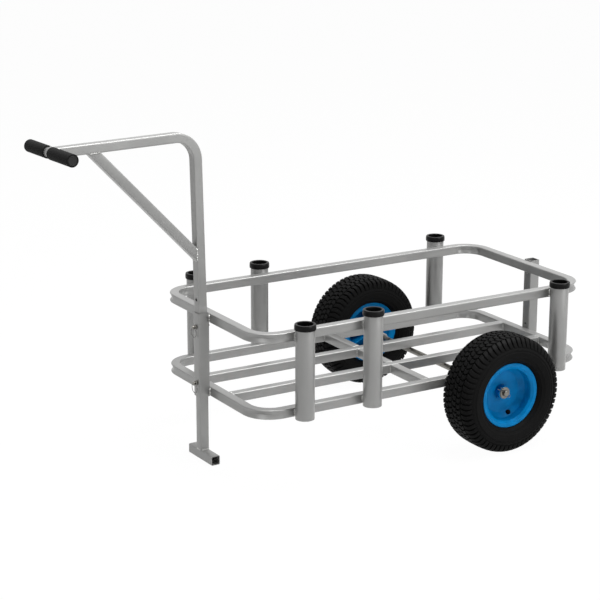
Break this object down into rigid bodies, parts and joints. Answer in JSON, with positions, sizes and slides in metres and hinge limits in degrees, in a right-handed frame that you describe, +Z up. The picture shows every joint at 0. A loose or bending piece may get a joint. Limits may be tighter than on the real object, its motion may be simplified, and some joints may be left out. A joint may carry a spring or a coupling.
{
  "type": "fishing trolley",
  "caption": "Two-wheeled fishing trolley: open basket of square aluminium tube, pinned pull handle and stand, rod holder tubes along both sides, pneumatic wheels with dished blue rims.",
  "frame": {"origin": "on the ground, in the middle of the overall length and width", "axes": "+X from the handle end to the rear, +Y to the right-hand side, +Z up"},
  "size_m": [1.5654, 0.8156, 0.9006],
  "materials": {
    "aluminium": "satin, clear anodised or bead-dulled tube",
    "steel": "zinc plated, semi-bright",
    "cap_plastic": "moulded, semi-matte",
    "grip_foam": "closed-cell foam",
    "grip_plug": "moulded plastic plug",
    "tyre_rubber": "turf tread rubber",
    "valve_rubber": "moulded rubber",
    "rim_blue": "satin gloss moulding"
  },
  "bodies": {
    "chassis": {"upper_rail": "aluminium", "lower_rail": "aluminium", "slat_left": "aluminium", "slat_right": "aluminium", "cross_member_left": "aluminium", "cross_member_middle": "aluminium", "cross_member_right": "aluminium", "front_receiver": "aluminium", "rear_receiver": "aluminium", "handle_tube": "aluminium", "handle_brace": "aluminium", "handle_crossbar": "aluminium", "stand_leg": "aluminium", "stand_foot": "aluminium", "axle_sleeve_left": "aluminium", "axle_sleeve_right": "aluminium", "rod_holder_left_front": "aluminium", "rod_holder_left_middle": "aluminium", "rod_holder_left_rear": "aluminium", "rod_holder_right_front": "aluminium", "rod_holder_right_middle": "aluminium", "rod_holder_right_rear": "aluminium", "rod_holder_cap_left_front": "cap_plastic", "rod_holder_cap_left_middle": "cap_plastic", "rod_holder_cap_left_rear": "cap_plastic", "rod_holder_cap_right_front": "cap_plastic", "rod_holder_cap_right_middle": "cap_plastic", "rod_holder_cap_right_rear": "cap_plastic", "axle": "steel", "washer_inner_left": "steel", "washer_outer_left": "steel", "cotter_pin_left": "steel", "washer_inner_right": "steel", "washer_outer_right": "steel", "cotter_pin_right": "steel", "grip_left": "grip_foam", "grip_right": "grip_foam", "grip_plug_left": "grip_plug", "grip_plug_right": "grip_plug"},
    "wheel_left": {"tyre_left": "tyre_rubber", "rim_left": "rim_blue", "hub_left": "rim_blue", "bearing_outer_left": "steel", "bearing_inner_left": "steel", "valve_stem_left": "valve_rubber"},
    "wheel_right": {"tyre_right": "tyre_rubber", "rim_right": "rim_blue", "hub_right": "rim_blue", "bearing_outer_right": "steel", "bearing_inner_right": "steel", "valve_stem_right": "valve_rubber"},
    "handle_pin_body": {"handle_pin": "steel"},
    "handle_pin_ring_body": {"handle_pin_ring": "steel"},
    "stand_pin_body": {"stand_pin": "steel"},
    "stand_pin_ring_body": {"stand_pin_ring": "steel"}
  },
  "joints": [
    {"name": "wheel_left_spin", "type": "hinge", "parent": "chassis", "child": "wheel_left", "pos_m": [0.39981, -0.3468, 0.1636], "axis": [0, 1, 0], "continuous": true},
    {"name": "wheel_right_spin", "type": "hinge", "parent": "chassis", "child": "wheel_right", "pos_m": [0.39981, 0.3468, 0.1636], "axis": [0, 1, 0], "continuous": true},
    {"name": "handle_pin_pull", "type": "slide", "parent": "chassis", "child": "handle_pin_body", "axis": [-1, 0, 0], "range_m": [0, 0.055]},
    {"name": "handle_pin_ring_swing", "type": "hinge", "parent": "handle_pin_body", "child": "handle_pin_ring_body", "pos_m": [-0.36006, 0, 0.37095], "axis": [0, 1, 0], "range_deg": [-8, 170]},
    {"name": "stand_pin_pull", "type": "slide", "parent": "chassis", "child": "stand_pin_body", "axis": [-1, 0, 0], "range_m": [0, 0.055]},
    {"name": "stand_pin_ring_swing", "type": "hinge", "parent": "stand_pin_body", "child": "stand_pin_ring_body", "pos_m": [-0.36006, 0, 0.21555], "axis": [0, 1, 0], "range_deg": [-8, 170]}
  ]
}
